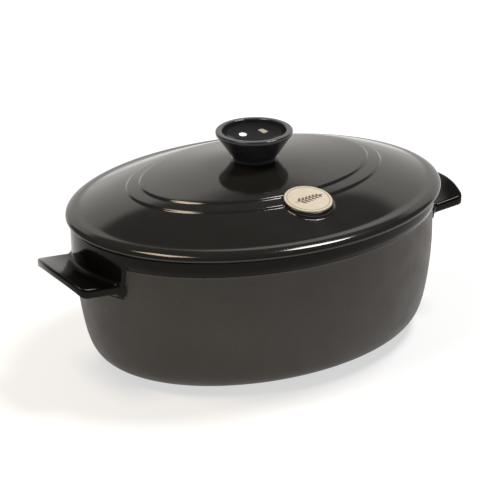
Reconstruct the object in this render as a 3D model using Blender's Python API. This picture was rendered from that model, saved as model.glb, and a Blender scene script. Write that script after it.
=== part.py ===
"""Covered oval casserole dish in glazed stoneware, modelled in metres with +Z up.

The origin is the centre of the base, on the surface the dish stands on. X runs from handle to
handle and -Y is the front, where the lid carries its badge. Every ring of the pot and the lid is
an oval set in by some distance from an outline: the collar band for the pot and the part of the
lid that goes into it, and the widest edge of the lid for the rest of the lid.
"""
import math

import bmesh
import bpy
from mathutils import Matrix, Vector

# ---- driving dimensions -------------------------------------------------------------------
HALF_LENGTH = 0.1662          # half of the lid's length
HALF_WIDTH = 0.1328           # half of the lid's width
POT_HALF_LENGTH = 0.1632      # half of the pot's length over its collar band
POT_HALF_WIDTH = 0.1265       # half of the pot's width over its collar band
FIT_GAP = 0.0003              # air left between two pieces that touch
RING_STEPS = 88               # points around a full oval

# Pot: heights above the base, insets from the outline of the collar band.
RIM_Z = 0.1262
BAND_LOW_Z = 0.1116
BAND_STEP_INSET = 0.0016      # inset of the band just above its lower edge
BAND_SWELL_HEIGHT = 0.0060    # height over which the band swells out to its full size
LIP_RADIUS = 0.0026
WALL_INSET = 0.0028
WALL_HEIGHTS = (0.0025, 0.005, 0.008, 0.012, 0.018, 0.027, 0.040, 0.058)
WALL_THICKNESS = 0.0090
INSIDE_HEIGHTS = (0.100, 0.070, 0.050, 0.036, 0.025, 0.017, 0.0125, 0.0100)
MOUTH_INSET = 0.0143
BASE_ROUND = 0.0229           # how far the base round draws in
BASE_ROUND_REACH = 0.0070     # height over which the base round fades to a third
DRAUGHT = 0.0131              # how far the long draught of the wall draws in
DRAUGHT_TOP = 0.0880          # height where the draught ends and the wall stands upright
DRAUGHT_POWER = 1.7
FLOOR_Z = 0.0090
FLOOR_EDGE_WIDTH = 0.0060     # width of the ring that joins the inner wall to the flat floor
INNER_CORNER_SPREAD = 0.0280
INNER_CORNER_HEIGHT = 0.0600
INNER_CORNER_POWER = 2.35
FOOT_WIDTH = 0.0070
FOOT_RECESS = 0.0016
FOOT_EDGE = 0.0012            # width of the slanted edges of the foot ring
FOOT_EDGE_Z = 0.0005
BASE_PANEL_INSET = 0.0300     # width of the outer ring of the recessed base

# Pads: where the collar band runs down behind each handle.
PAD_LOW_Z = 0.0848
PAD_HALF_WIDTH = 0.0455
PAD_BLEND = 0.0025
PAD_LEAD = 0.0080             # height of the last wall ring below the band and the pads

# Handles: arched wings that rise from a straight root line.
HANDLE_HALF_WIDTH = 0.0415
HANDLE_TIP_X = 0.1939
HANDLE_TIP_CURVE = 4.2        # metres of drop-back per square metre of offset from the middle
HANDLE_ROOT_Z = 0.0980
HANDLE_ARCH_Z = 0.1071
HANDLE_CORNER_Z = 0.1003
HANDLE_ARCH_POWER = 2.2
HANDLE_ROOT_THICKNESS = 0.0080
HANDLE_TIP_THICKNESS = 0.0070
HANDLE_CORNER_SAG = 0.0013    # how much thicker the tip is at its two corners
HANDLE_EDGE_RADIUS = 0.0024
HANDLE_ROOT_FILLET = 0.0040
HANDLE_CORNER_RADIUS = 0.0050
HANDLE_EDGE_STEPS = 3         # steps round each rounded edge of a handle section
HANDLE_FACE_STEPS = 12        # steps across the top and across the underside

# Lid: insets from the lid's outline, heights above the base.
LID_SEAT_Z = RIM_Z + FIT_GAP
LID_EDGE_Z = 0.1279
LID_EDGE_RADIUS = 0.0042      # round of the edge below the turn angle
LID_SHOULDER_RADIUS = 0.0070  # softer round of the shoulder above the turn angle
LID_TURN_ANGLE = math.radians(40)
LID_THICKNESS = 0.0070
BRIM_SLOPE = 0.49             # rise over run where the brim leaves the shoulder
BRIM_FLATTENING = 2.55        # metres of fall-off per square metre of run
BRIM_DIP = 0.0016             # how far the brim drops back behind the shoulder
BRIM_DIP_INSETS = (0.0045, 0.0135)
BRIM_HOLLOW = 0.0009          # extra depth of the brim along the lid's long sides
BRIM_HOLLOW_INSETS = (0.0045, 0.0150, 0.0500)  # where the hollow starts, is deepest and ends
BRIM_INSETS = (0.0060, 0.0085, 0.0110, 0.0135, 0.0160, 0.0260, 0.0380)
STEP_HEIGHT = 0.0013
STEP_HALF_WIDTH = 0.0012
STEP_INSETS = (0.0517, 0.0629)
STEP_RING_OFFSETS = (-0.0015, -0.0005, 0.0005, 0.0015)
DOME_SHARES = (0.25, 0.5, 0.75, 1.0)
DOME_FLATTENING = 1.15        # over 1, so that the dome levels off towards the knob
UNDERSIDE_INSETS = (0.056, 0.040, 0.029)
CROWN_INSET = 0.0779          # inset of the flat middle of the underside
CROWN_EXTRA = 0.0020          # extra thickness of the lid below the knob
SEAT_INSET = 0.0085
EDGE_UNDERCUT = ((0.0016, -0.0012), (0.0004, -0.0007))  # insets and heights below the edge
FLANGE_GAP = 0.0013           # play between the lid's flange and the pot's mouth
FLANGE_WIDTH = 0.0052
FLANGE_LOW_Z = 0.1195
FLANGE_ROOT_Z = 0.1300
FLANGE_EDGE = 0.0010          # width of the slanted edges of the flange
FLANGE_TAPER = 0.0006         # how much wider the flange is at its root
KNOB_PAD_RADIUS = 0.0212
KNOB_PAD_Z = 0.1622

# Badge boss on the front slope of the lid.
BOSS_RADIUS = 0.0207
BOSS_CENTRE = (0.0, -0.0826, 0.1510)
BOSS_TILT = math.radians(11.5)
BOSS_DEPTH = 0.0080
BOSS_STEPS = 40
BOSS_EDGE = ((0.0, -0.0008), (0.0003, -0.0002), (0.0009, 0.0))  # insets and heights
BADGE_RADIUS = 0.0198
BADGE_THICKNESS = 0.0009
BADGE_EDGE_WIDTH = 0.0006
BADGE_EDGE_HEIGHT = 0.0005
BADGE_STEPS = 48

# Knob: radii and heights of the flared cup.
KNOB_STEPS = 48
KNOB_BASE_RADIUS = 0.0198
KNOB_RIM_RADIUS = 0.0324
KNOB_TOP_Z = 0.1869
KNOB_LIP_WIDTH = 0.0056
KNOB_LIP_HEIGHT = 0.0038
KNOB_LIP_ROUND = 0.0014
KNOB_FLOOR_Z = 0.1715
KNOB_FLOOR_RADIUS = 0.0120
KNOB_FLOOR_DISH = 0.0004      # how much lower the middle of the cup's floor is
KNOB_WALL_FOOT = (0.0165, 0.1740)  # radius and height where the cup's wall leaves its floor
KNOB_BASE_EDGE = 0.0004
KNOB_BASE_HEIGHT = 0.0012
KNOB_GROOVE = 0.0007          # depth of the neck behind the edge of the base

QUARTER_TURN = math.pi / 2


def clear_scene():
    for item in list(bpy.data.objects):
        bpy.data.objects.remove(item, do_unlink=True)


# ---- materials ----------------------------------------------------------------------------
def principled(name, colour, roughness, metallic=0.0):
    material = bpy.data.materials.new(name)
    material.use_nodes = True
    shader = material.node_tree.nodes["Principled BSDF"]
    shader.inputs["Base Color"].default_value = (*colour, 1.0)
    shader.inputs["Roughness"].default_value = roughness
    shader.inputs["Metallic"].default_value = metallic
    material.diffuse_color = (*colour, 1.0)
    return material


def pot_glaze():
    return principled("charcoal_pot_glaze", (0.052, 0.047, 0.040), 0.30)


def handle_glaze(name):
    return principled(name, (0.030, 0.028, 0.026), 0.18)


def lid_glaze():
    return principled("charcoal_lid_glaze", (0.040, 0.037, 0.033), 0.16)


def knob_glaze():
    return principled("black_knob_glaze", (0.012, 0.012, 0.013), 0.10)


def badge_enamel():
    return principled("cream_badge_enamel", (0.78, 0.72, 0.60), 0.40)


# ---- shared shapes ------------------------------------------------------------------------
def add_object(name, mesh, material):
    mesh.materials.append(material)
    mesh.shade_smooth()
    mesh.set_sharp_from_angle(angle=math.radians(35))
    item = bpy.data.objects.new(name, mesh)
    bpy.context.scene.collection.objects.link(item)
    return item


def fan_cap(shape, row):
    """Flat cap of triangles from the middle of the row."""
    count = len(row)
    centre = shape.verts.new(sum((vert.co for vert in row), Vector()) / count)
    for i in range(count):
        shape.faces.new((row[i], row[(i + 1) % count], centre))


def zip_cap(shape, row):
    """Cap of strips that join each point to the one below it, so that it follows a curved wall."""
    last = len(row) - 1
    for i in range(len(row) // 2 - 1):
        shape.faces.new((row[i], row[i + 1], row[last - 1 - i], row[last - i]))


def loft(name, loops, cap=fan_cap):
    """Closed skin through loops of equal length, capped at each end."""
    shape = bmesh.new()
    rows = [[shape.verts.new(point) for point in loop] for loop in loops]
    count = len(rows[0])
    for lower, upper in zip(rows, rows[1:]):
        for i in range(count):
            j = (i + 1) % count
            shape.faces.new((lower[i], lower[j], upper[j], upper[i]))
    for row in (rows[0], rows[-1]):
        cap(shape, row)
    bmesh.ops.recalc_face_normals(shape, faces=shape.faces)
    mesh = bpy.data.meshes.new(name)
    shape.to_mesh(mesh)
    shape.free()
    return mesh


def oval_ring(half_length, half_width, inset, z, angles):
    length = half_length - inset
    width = half_width - inset
    return [(length * math.cos(a), width * math.sin(a), z) for a in angles]


def pot_ring(inset, z, angles):
    return oval_ring(POT_HALF_LENGTH, POT_HALF_WIDTH, inset, z, angles)


def lid_ring(inset, z, angles):
    return oval_ring(HALF_LENGTH, HALF_WIDTH, inset, z, angles)


def even_angles(count):
    return [2 * math.pi * i / count for i in range(count)]


def smooth_step(low, high, value):
    t = min(max((value - low) / (high - low), 0.0), 1.0)
    return t * t * (3 - 2 * t)


def arc(centre, radius, start, end, steps):
    """Points of an arc in a profile plane, start and end in quarter turns."""
    points = []
    for i in range(steps + 1):
        angle = QUARTER_TURN * (start + (end - start) * i / steps)
        points.append((centre[0] + radius * math.cos(angle), centre[1] + radius * math.sin(angle)))
    return points


# ---- pot ----------------------------------------------------------------------------------
def outer_wall_inset(z):
    base = BASE_ROUND * math.exp(-z / BASE_ROUND_REACH)
    return WALL_INSET + base + DRAUGHT * max(1.0 - z / DRAUGHT_TOP, 0.0) ** DRAUGHT_POWER


def inner_wall_inset(z):
    left = max(1.0 - (z - FLOOR_Z) / INNER_CORNER_HEIGHT, 0.0)
    corner = 1.0 - (1.0 - left ** 2) ** (1.0 / INNER_CORNER_POWER)
    return WALL_INSET + WALL_THICKNESS + INNER_CORNER_SPREAD * corner


def pot_angles():
    """Even steps round the oval, with more of them where the band turns down to a pad."""
    angles = even_angles(RING_STEPS)
    for offset in (-1.0, 0.0, 1.0):
        turn = math.asin((PAD_HALF_WIDTH + offset * PAD_BLEND) / POT_HALF_WIDTH)
        angles += [turn, math.pi - turn, math.pi + turn, 2 * math.pi - turn]
    return sorted(angles)


def band_edge_z(angle):
    """Lower edge of the collar band: level, and dropped behind each handle."""
    across = abs(POT_HALF_WIDTH * math.sin(angle))
    level = smooth_step(PAD_HALF_WIDTH - PAD_BLEND, PAD_HALF_WIDTH + PAD_BLEND, across)
    return PAD_LOW_Z + (BAND_LOW_Z - PAD_LOW_Z) * level


def fitted_ring(angles, rise, inset):
    """Ring at a height that follows the band's lower edge, plus some rise above it."""
    ring = []
    for angle in angles:
        z = band_edge_z(angle) + rise
        depth = outer_wall_inset(z) if inset is None else inset
        ring += pot_ring(depth, z, (angle,))
    return ring


def build_pot_body():
    angles = pot_angles()
    foot_outer = outer_wall_inset(0.0)
    foot_inner = foot_outer + FOOT_WIDTH
    loops = [
        pot_ring(foot_inner + BASE_PANEL_INSET, FOOT_RECESS, angles),
        pot_ring(foot_inner + FOOT_EDGE, FOOT_RECESS, angles),
        pot_ring(foot_inner, 0.0, angles),
        pot_ring(foot_outer + FOOT_EDGE, 0.0, angles),
    ]
    for z in (FOOT_EDGE_Z, *WALL_HEIGHTS):
        loops.append(pot_ring(outer_wall_inset(z), z, angles))
    loops.append(fitted_ring(angles, -PAD_LEAD, None))
    loops.append(fitted_ring(angles, 0.0, None))
    for share in (0.05, 0.35, 0.65, 1.0):
        inset = BAND_STEP_INSET * (1.0 - share) ** 2
        loops.append(fitted_ring(angles, share * BAND_SWELL_HEIGHT, inset))
    for x, z in arc((-LIP_RADIUS, RIM_Z - LIP_RADIUS), LIP_RADIUS, 0, 1, 3):
        loops.append(pot_ring(-x, z, angles))
    rim_inner = MOUTH_INSET - LIP_RADIUS
    for x, z in arc((-rim_inner, RIM_Z - LIP_RADIUS), LIP_RADIUS, 1, 2, 3):
        loops.append(pot_ring(-x, z, angles))
    for z in INSIDE_HEIGHTS:
        loops.append(pot_ring(inner_wall_inset(z), z, angles))
    loops.append(pot_ring(inner_wall_inset(FLOOR_Z) + FLOOR_EDGE_WIDTH, FLOOR_Z, angles))
    return add_object("pot_body", loft("pot_body", loops), pot_glaze())


# ---- handles ------------------------------------------------------------------------------
def pad_face_x(y):
    return POT_HALF_LENGTH * math.sqrt(1.0 - (y / POT_HALF_WIDTH) ** 2) + FIT_GAP


def handle_tip_x(y):
    return HANDLE_TIP_X - HANDLE_TIP_CURVE * y * y


def handle_top_z(share, y):
    """Height of the wing's top: straight at the root, arched at the outer edge."""
    reach = min(abs(y) / HANDLE_HALF_WIDTH, 1.0)
    edge = HANDLE_ARCH_Z - (HANDLE_ARCH_Z - HANDLE_CORNER_Z) * reach ** HANDLE_ARCH_POWER
    return HANDLE_ROOT_Z + (edge - HANDLE_ROOT_Z) * share


def quarter_round(radius, distance):
    """Offset that a round of this radius gives at some distance from where it starts."""
    left = max(radius - distance, 0.0)
    return radius - math.sqrt(radius ** 2 - left ** 2)


def handle_section(half_width, thickness, flare):
    """Slab with rounded edges, as (across, below the top) pairs from the right side over the top."""
    straight = half_width - HANDLE_EDGE_RADIUS
    radius = HANDLE_EDGE_RADIUS + flare
    upper = -HANDLE_EDGE_RADIUS
    lower = HANDLE_EDGE_RADIUS - thickness
    corners = ((straight, upper), (-straight, upper), (-straight, lower), (straight, lower))
    points = []
    for turn, corner in enumerate(corners):
        points += arc(corner, radius, turn, turn + 1, HANDLE_EDGE_STEPS)
        if turn in (0, 2):
            start, height = points[-1]
            for i in range(1, HANDLE_FACE_STEPS):
                points.append((start - 2 * start * i / HANDLE_FACE_STEPS, height))
    return points


def handle_loops(side):
    reach = HANDLE_TIP_X - pad_face_x(0.0)
    fillet = HANDLE_ROOT_FILLET
    edge = HANDLE_EDGE_RADIUS
    stations = [0.0, 0.1 * fillet, 0.3 * fillet, 0.6 * fillet, fillet, 0.35 * reach, 0.6 * reach]
    stations += [reach - HANDLE_CORNER_RADIUS, reach - edge, reach - 0.5 * edge]
    stations += [reach - 0.1 * edge]
    loops = []
    for distance in stations:
        share = distance / reach
        thickness = HANDLE_ROOT_THICKNESS + (HANDLE_TIP_THICKNESS - HANDLE_ROOT_THICKNESS) * share
        flare = quarter_round(fillet, distance) - quarter_round(edge, reach - distance)
        half_width = HANDLE_HALF_WIDTH - quarter_round(HANDLE_CORNER_RADIUS, reach - distance)
        loop = []
        for across, below in handle_section(half_width, thickness, flare):
            root = pad_face_x(across)
            x = root + (handle_tip_x(across) - root) * share
            z = handle_top_z(share, across) + below
            if below < -thickness / 2:
                z -= HANDLE_CORNER_SAG * share * (abs(across) / HANDLE_HALF_WIDTH) ** 2
            loop.append((side * x, across, z))
        loops.append(loop)
    return loops


def build_handle(name, side):
    mesh = loft(name, handle_loops(side), zip_cap)
    return add_object(name, mesh, handle_glaze(name + "_glaze"))


# ---- lid ----------------------------------------------------------------------------------
def lid_edge_points():
    """Inset and height pairs round the lid's edge, from its widest point up to the brim."""
    turn = LID_TURN_ANGLE / QUARTER_TURN
    end = 1.0 - math.atan(BRIM_SLOPE) / QUARTER_TURN
    lower = arc((-LID_EDGE_RADIUS, LID_EDGE_Z), LID_EDGE_RADIUS, 0, turn, 3)
    shift = LID_SHOULDER_RADIUS - LID_EDGE_RADIUS
    centre_x = -LID_EDGE_RADIUS - shift * math.cos(LID_TURN_ANGLE)
    centre_z = LID_EDGE_Z - shift * math.sin(LID_TURN_ANGLE)
    upper = arc((centre_x, centre_z), LID_SHOULDER_RADIUS, turn, end, 2)
    return [(-x, z) for x, z in lower + upper[1:]]


def lid_top_z(inset):
    """Height of the brim and of the start of the dome, with the drop and the steps."""
    start, height = lid_edge_points()[-1]
    run = inset - start
    brim = height + BRIM_SLOPE * run - BRIM_FLATTENING * run ** 2
    brim -= BRIM_DIP * smooth_step(*BRIM_DIP_INSETS, inset)
    for step in STEP_INSETS:
        brim += STEP_HEIGHT * smooth_step(step - STEP_HALF_WIDTH, step + STEP_HALF_WIDTH, inset)
    return brim


def lid_brim_ring(inset, angles):
    """Ring of the brim, with the hollow that is deepest along the two long sides."""
    start, middle, end = BRIM_HOLLOW_INSETS
    share = smooth_step(start, middle, inset) * (1.0 - smooth_step(middle, end, inset))
    ring = []
    for angle in angles:
        z = lid_top_z(inset) - BRIM_HOLLOW * share * math.sin(angle) ** 2
        ring += lid_ring(inset, z, (angle,))
    return ring


def dome_ring(share, angles):
    """Ring of the dome between the inner step, share 0, and the round knob pad, share 1."""
    inset = STEP_INSETS[1] + STEP_RING_OFFSETS[-1]
    low = lid_top_z(inset)
    height = low + (KNOB_PAD_Z - low) * (1.0 - (1.0 - share) ** DOME_FLATTENING)
    ring = []
    for angle, point in zip(angles, lid_ring(inset, height, angles)):
        circle = (KNOB_PAD_RADIUS * math.cos(angle), KNOB_PAD_RADIUS * math.sin(angle), height)
        ring.append(tuple(a + (b - a) * share for a, b in zip(point, circle)))
    return ring


def build_lid_shell():
    angles = even_angles(RING_STEPS)
    crown_z = lid_top_z(CROWN_INSET) - LID_THICKNESS - CROWN_EXTRA
    loops = [lid_ring(CROWN_INSET, crown_z, angles)]
    for inset in UNDERSIDE_INSETS:
        loops.append(lid_ring(inset, lid_top_z(inset) - LID_THICKNESS, angles))
    outer = MOUTH_INSET + FLANGE_GAP
    inner = outer + FLANGE_WIDTH
    flange = [(inner + FLANGE_TAPER, FLANGE_ROOT_Z), (inner, FLANGE_LOW_Z + FLANGE_EDGE)]
    flange += [(inner - FLANGE_EDGE, FLANGE_LOW_Z), (outer + FLANGE_EDGE, FLANGE_LOW_Z)]
    flange += [(outer, FLANGE_LOW_Z + FLANGE_EDGE), (outer, LID_SEAT_Z)]
    for inset, z in flange:
        loops.append(pot_ring(inset, z, angles))
    loops.append(lid_ring(SEAT_INSET, LID_SEAT_Z, angles))
    for inset, below in EDGE_UNDERCUT:
        loops.append(lid_ring(inset, LID_EDGE_Z + below, angles))
    for inset, z in lid_edge_points():
        loops.append(lid_ring(inset, z, angles))
    for inset in BRIM_INSETS:
        loops.append(lid_brim_ring(inset, angles))
    for step in STEP_INSETS:
        for offset in STEP_RING_OFFSETS:
            loops.append(lid_ring(step + offset, lid_top_z(step + offset), angles))
    for share in DOME_SHARES:
        loops.append(dome_ring(share, angles))
    return loft("lid", loops)


def boss_frame():
    return Matrix.Translation(BOSS_CENTRE) @ Matrix.Rotation(BOSS_TILT, 4, "X")


def build_boss_solid():
    """Round boss, its top face at the boss frame's origin, with a rounded upper edge."""
    steps = even_angles(BOSS_STEPS)
    loops = []
    for inset, z in ((0.0, -BOSS_DEPTH), *BOSS_EDGE):
        reach = BOSS_RADIUS - inset
        loops.append([(reach * math.cos(a), reach * math.sin(a), z) for a in steps])
    mesh = loft("boss_solid", loops)
    mesh.transform(boss_frame())
    return mesh


def build_lid():
    material = lid_glaze()
    lid = add_object("lid", build_lid_shell(), material)
    boss = add_object("boss_guide", build_boss_solid(), material)
    boss.hide_render = True
    boss.display_type = "WIRE"
    join = lid.modifiers.new("raise_boss", "BOOLEAN")
    join.operation = "UNION"
    join.solver = "EXACT"
    join.object = boss
    return lid


# ---- knob and badge -----------------------------------------------------------------------
def spin_profile(name, profile, steps):
    """Solid of revolution about Z from (radius, height) points, first and last on the axis."""
    shape = bmesh.new()
    verts = [shape.verts.new((r, 0.0, z)) for r, z in profile]
    edges = [shape.edges.new(pair) for pair in zip(verts, verts[1:])]
    bmesh.ops.spin(
        shape, geom=verts + edges, cent=(0, 0, 0), axis=(0, 0, 1), angle=2 * math.pi, steps=steps
    )
    bmesh.ops.remove_doubles(shape, verts=shape.verts, dist=1e-6)
    bmesh.ops.recalc_face_normals(shape, faces=shape.faces)
    mesh = bpy.data.meshes.new(name)
    shape.to_mesh(mesh)
    shape.free()
    return mesh


def build_lid_knob():
    base_z = KNOB_PAD_Z + FIT_GAP
    lip_z = KNOB_TOP_Z - KNOB_LIP_ROUND
    lip_low_z = KNOB_TOP_Z - KNOB_LIP_HEIGHT + KNOB_LIP_ROUND
    outer_r = KNOB_RIM_RADIUS - KNOB_LIP_ROUND
    inner_r = KNOB_RIM_RADIUS - KNOB_LIP_WIDTH + KNOB_LIP_ROUND
    neck_r = KNOB_BASE_RADIUS - KNOB_GROOVE
    profile = [(0.0, base_z), (KNOB_BASE_RADIUS - KNOB_BASE_EDGE, base_z)]
    profile += [(KNOB_BASE_RADIUS, base_z + KNOB_BASE_EDGE)]
    profile += [(KNOB_BASE_RADIUS, base_z + KNOB_BASE_HEIGHT)]
    profile += [(neck_r, base_z + 0.0020), (neck_r + 0.0004, base_z + 0.0036)]
    profile += arc((outer_r, lip_low_z), KNOB_LIP_ROUND, -0.75, 0, 3)
    profile += arc((outer_r, lip_z), KNOB_LIP_ROUND, 0, 1, 3)
    profile += arc((inner_r, lip_z), KNOB_LIP_ROUND, 1, 2.1, 3)
    profile += [KNOB_WALL_FOOT, (KNOB_FLOOR_RADIUS, KNOB_FLOOR_Z)]
    profile += [(0.0, KNOB_FLOOR_Z - KNOB_FLOOR_DISH)]
    return add_object("lid_knob", spin_profile("lid_knob", profile, KNOB_STEPS), knob_glaze())


def build_badge_disc():
    top = FIT_GAP + BADGE_THICKNESS
    profile = [(0.0, FIT_GAP), (BADGE_RADIUS, FIT_GAP), (BADGE_RADIUS, top - BADGE_EDGE_HEIGHT)]
    profile += [(BADGE_RADIUS - BADGE_EDGE_WIDTH, top), (0.0, top)]
    mesh = spin_profile("badge_disc", profile, BADGE_STEPS)
    badge = add_object("badge_disc", mesh, badge_enamel())
    badge.matrix_world = boss_frame()
    return badge


def main():
    clear_scene()
    build_pot_body()
    build_handle("left_handle", -1)
    build_handle("right_handle", 1)
    lid = build_lid()
    for item in (build_lid_knob(), build_badge_disc()):
        item.parent = lid


main()
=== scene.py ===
"""Visual model of the covered oval casserole dish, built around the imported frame.

Every ring of the pot and the lid is an oval set in by some distance from an outline. Lengths are in
metres, X runs from handle to handle, -Y is the front with the badge, and +Z is up.
"""
import math

import bmesh
import bpy
from mathutils import Matrix, Vector
from mathutils.bvhtree import BVHTree


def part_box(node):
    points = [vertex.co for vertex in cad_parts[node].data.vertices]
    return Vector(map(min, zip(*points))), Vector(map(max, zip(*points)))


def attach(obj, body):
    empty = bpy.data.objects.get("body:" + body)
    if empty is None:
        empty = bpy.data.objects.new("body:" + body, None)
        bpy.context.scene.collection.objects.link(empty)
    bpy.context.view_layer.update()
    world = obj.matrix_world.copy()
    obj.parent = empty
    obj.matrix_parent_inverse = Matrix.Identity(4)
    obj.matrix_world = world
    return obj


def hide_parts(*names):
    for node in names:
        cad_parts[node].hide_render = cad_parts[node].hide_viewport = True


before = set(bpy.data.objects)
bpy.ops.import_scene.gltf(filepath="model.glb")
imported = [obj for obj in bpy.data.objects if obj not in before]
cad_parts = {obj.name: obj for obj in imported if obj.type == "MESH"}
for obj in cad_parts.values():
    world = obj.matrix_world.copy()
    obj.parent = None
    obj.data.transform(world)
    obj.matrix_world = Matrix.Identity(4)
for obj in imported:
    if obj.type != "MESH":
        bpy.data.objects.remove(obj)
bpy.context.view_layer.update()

QUARTER_TURN = math.pi / 2
FIT_GAP = 0.0003              # air that the frame keeps between pieces that touch

# ---- sizes read from the frame --------------------------------------------------------------
LID_LOW, LID_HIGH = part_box("lid")
POT_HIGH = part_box("pot_body")[1]
KNOB_LOW, KNOB_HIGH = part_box("lid_knob")
BADGE_LOW, BADGE_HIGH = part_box("badge_disc")
WING_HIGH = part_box("right_handle")[1]

HALF_LENGTH = LID_HIGH.x
HALF_WIDTH = LID_HIGH.y
POT_HALF_LENGTH = POT_HIGH.x
POT_HALF_WIDTH = POT_HIGH.y
RIM_Z = POT_HIGH.z

# ---- pot: heights above the base, insets from the outline of its collar band ------------------
RING_STEPS = 288
BAND_LOW_Z = RIM_Z - 0.0146
BAND_STEP_INSET = 0.0016      # inset of the band just above its lower edge
BAND_SWELL_HEIGHT = 0.0060
BAND_EDGE_RADIUS = 0.0006
BAND_FILLET = 0.0016          # reach of the hollow round where the wall meets the band
BAND_FILLET_HEIGHT = 0.0022
BAND_FILLET_SWEEP = 0.94      # share of the full quarter that the hollow round runs through
LIP_RADIUS = 0.0026
WALL_INSET = 0.0028
WALL_THICKNESS = 0.0090
MOUTH_INSET = 0.0143
BASE_ROUND = 0.0229           # how far the base round draws in
BASE_ROUND_REACH = 0.0070     # height over which the base round fades to a third
DRAUGHT = 0.0131              # how far the long draught of the wall draws in
DRAUGHT_TOP = 0.0880
DRAUGHT_POWER = 1.7
LEVEL_WALL_TOP = 0.0660       # highest level ring of the outer wall, below the pads
WALL_RINGS = 30
FLOOR_Z = 0.0090
INNER_CORNER_SPREAD = 0.0280
INNER_CORNER_HEIGHT = 0.0600
INNER_CORNER_POWER = 2.35
INSIDE_RINGS = 26
FOOT_WIDTH = 0.0070
FOOT_RECESS = 0.0016
FOOT_EDGE = 0.0012
FOOT_ROUND_Z = 0.0005         # height where the satin wall starts above the foot
BASE_PANEL_INSET = 0.0300     # width of the outer ring of the recessed base
FLOOR_EDGE_WIDTH = 0.0060
INSIDE_LOW_Z = 0.0095
INSIDE_HIGH_Z = 0.1000
PAD_LOW_Z = 0.0848
PAD_HALF_WIDTH = 0.0455
PAD_BLEND = 0.0025

# ---- handles ----------------------------------------------------------------------------------
HANDLE_HALF_WIDTH = 0.0415
HANDLE_TIP_X = WING_HIGH.x
HANDLE_TIP_CURVE = 4.2        # metres of drop-back per square metre of offset from the middle
HANDLE_ROOT_Z = 0.0980
HANDLE_ARCH_Z = 0.1071
HANDLE_CORNER_Z = 0.1003
HANDLE_ARCH_POWER = 2.2
HANDLE_ROOT_THICKNESS = 0.0080
HANDLE_TIP_THICKNESS = 0.0070
HANDLE_CORNER_SAG = 0.0013
HANDLE_EDGE_RADIUS = 0.0024
HANDLE_ROOT_FILLET = 0.0040
HANDLE_CORNER_RADIUS = 0.0050
HANDLE_EDGE_STEPS = 8
HANDLE_FACE_STEPS = 40
HANDLE_ROOT_DEPTH = 0.0015    # how far the root runs on into the pad, so that no seam shows
HANDLE_FILLET_SHARES = (0.02, 0.07, 0.15, 0.25, 0.37, 0.5, 0.65, 0.82, 1.0)
HANDLE_TIP_SHARES = (0.85, 0.7, 0.55, 0.42, 0.3, 0.2, 0.12, 0.05, 0.01)

# ---- lid: insets from its widest edge -----------------------------------------------------------
LID_SEAT_Z = RIM_Z + FIT_GAP
LID_EDGE_Z = 0.1279
LID_EDGE_RADIUS = 0.0042
LID_SHOULDER_RADIUS = 0.0070
LID_TURN_ANGLE = math.radians(40)  # where the edge round turns into the shoulder round
LID_EDGE_STEPS = 8
LID_THICKNESS = 0.0070
BRIM_SLOPE = 0.49
BRIM_FLATTENING = 2.55
BRIM_DIP = 0.0016             # how far the brim drops back behind the shoulder
BRIM_DIP_INSETS = (0.0045, 0.0135)
BRIM_HOLLOW = 0.0009          # extra depth of the brim along the lid's long sides
BRIM_HOLLOW_INSETS = (0.0045, 0.0150, 0.0500)  # where it starts, is deepest and ends
BRIM_RINGS = 56
STEP_HEIGHT = 0.0013
STEP_HALF_WIDTH = 0.0012
STEP_INSETS = (0.0517, 0.0629)
STEP_MARGIN = 0.0015          # reach of the rings on each side of a step
STEP_RINGS = 8
DOME_RINGS = 18
DOME_FLATTENING = 1.15
FLANGE_GAP = 0.0013
FLANGE_WIDTH = 0.0052
FLANGE_LOW_Z = LID_LOW.z
FLANGE_TOP_Z = 0.1300         # where the inner side of the flange meets the underside
FLANGE_EDGE = 0.0010          # rounding of the flange's lower corners
FLANGE_EDGE_MIDDLE = 0.0003
FLANGE_LEAN = 0.0006
UNDERSIDE_INSETS = (0.056, 0.048, 0.040, 0.034, 0.029)
UNDERSIDE_PANEL_INSET = 0.0779
UNDERSIDE_PANEL_DROP = 0.0020
SEAT_EDGE_INSET = 0.0085      # outer end of the face that rests on the rim
LID_LOWER_EDGE = ((0.0016, -0.0012), (0.0008, -0.0010), (0.0004, -0.0007), (0.0001, -0.0003))
KNOB_PAD_RADIUS = 0.0212
KNOB_PAD_Z = KNOB_LOW.z - FIT_GAP

# ---- boss and badge -----------------------------------------------------------------------------
BOSS_RADIUS = 0.0207
BOSS_TILT = math.radians(11.5)
BOSS_ROOT = 0.0016            # how far the boss reaches into the lid below its foot
BOSS_SINK = 0.0001            # how far the fillet starts below the lid's surface
BOSS_LEAST_DROP = 0.0006      # height of the boss where the dome almost reaches it
BOSS_STEPS = 128
BOSS_FILLET = 0.0034
BOSS_FILLET_SHARE = 0.7       # most of the boss's height that the fillet may take
RAY_START = 0.02              # height above the boss from which the lid is probed
BOSS_ROUND = 0.0006
BADGE_RADIUS = (BADGE_HIGH.x - BADGE_LOW.x) / 2
BADGE_THICKNESS = 0.0009
BADGE_STEPS = 128
BADGE_LOWER_Z = 0.0001        # underside of the plaque above the boss
BADGE_EDGE_ROUND = 0.0005
SPRIG_RELIEF = 0.0001         # how far the sprig and the ring reach above and into the plaque
SPRIG_STEM = (-0.0130, 0.0105)
SPRIG_STEM_HALF_WIDTH = 0.00022
SPRIG_STEM_SWAY = 0.0012
SPRIG_SWAY_LENGTH = 0.0130
SPRIG_LEAF_PAIRS = 6
SPRIG_FIRST_LEAF_X = -0.0098
SPRIG_LEAF_SPACING = 0.0036
SPRIG_LEAF_LENGTH = 0.0062
SPRIG_LEAF_TAPER = 0.0005     # by how much each pair is shorter than the one before it
SPRIG_LEAF_WIDTH = 0.0023
SPRIG_LEAF_SHIFT = 0.0009
SPRIG_LEAF_ANGLE = math.radians(52)
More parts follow.
